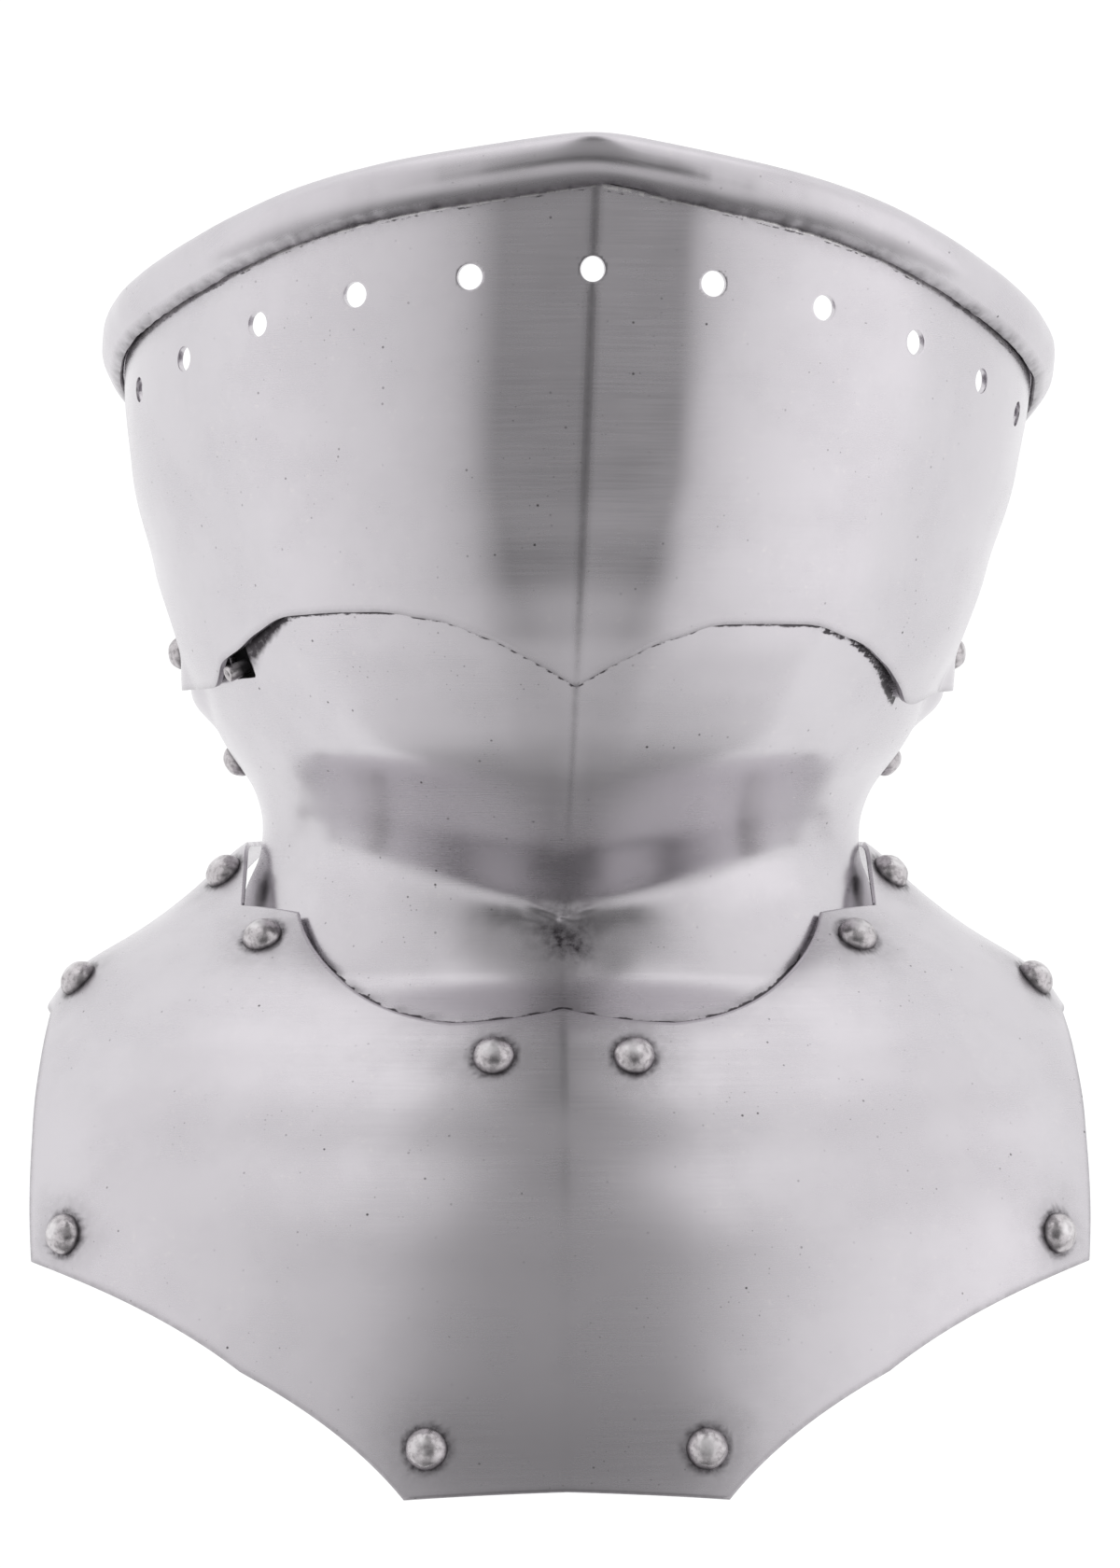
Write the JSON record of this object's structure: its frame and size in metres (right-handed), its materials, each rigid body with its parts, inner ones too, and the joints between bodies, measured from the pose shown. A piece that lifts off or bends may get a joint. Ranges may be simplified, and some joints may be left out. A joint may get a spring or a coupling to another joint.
{
  "type": "steel bevor gorget",
  "caption": "Medieval plate bevor gorget: a hinged falling face plate with a rolled rim laps over a chin plate that is riveted to a scalloped chest bib.",
  "frame": {"origin": "middle of the piece on the surface that it rests on with its open back", "axes": "+X to the viewer's right, +Y up along the wearer, +Z out of the front toward the viewer"},
  "size_m": [0.2602, 0.3236, 0.1571],
  "materials": {
    "plate_steel": "satin, finely brushed, with small dark pits",
    "rivet_steel": "satin, worn bright on the crowns and dark around the foot"
  },
  "bodies": {
    "gorget": {"chin_plate": "plate_steel", "bib_plate": "plate_steel", "catch_spring": "rivet_steel", "pivot_rivet_left": "rivet_steel", "pivot_rivet_right": "rivet_steel", "jaw_rivet_left": "rivet_steel", "jaw_rivet_right": "rivet_steel", "bib_front_rivet_left": "rivet_steel", "bib_front_rivet_right": "rivet_steel", "bib_collar_rivet_left": "rivet_steel", "bib_collar_rivet_right": "rivet_steel", "bib_nape_rivet_left": "rivet_steel", "bib_nape_rivet_right": "rivet_steel", "bib_shoulder_rivet_left": "rivet_steel", "bib_shoulder_rivet_right": "rivet_steel", "bib_side_rivet_left": "rivet_steel", "bib_side_rivet_right": "rivet_steel", "bib_hem_rivet_left": "rivet_steel", "bib_hem_rivet_right": "rivet_steel"},
    "face": {"falling_plate": "plate_steel"}
  },
  "joints": [
    {"name": "falling_plate_hinge", "type": "hinge", "parent": "gorget", "child": "face", "pos_m": [0, 0.04037, 0.038], "axis": [1, 0, 0], "range_deg": [0, 42], "deforming": ["catch_spring"]}
  ]
}
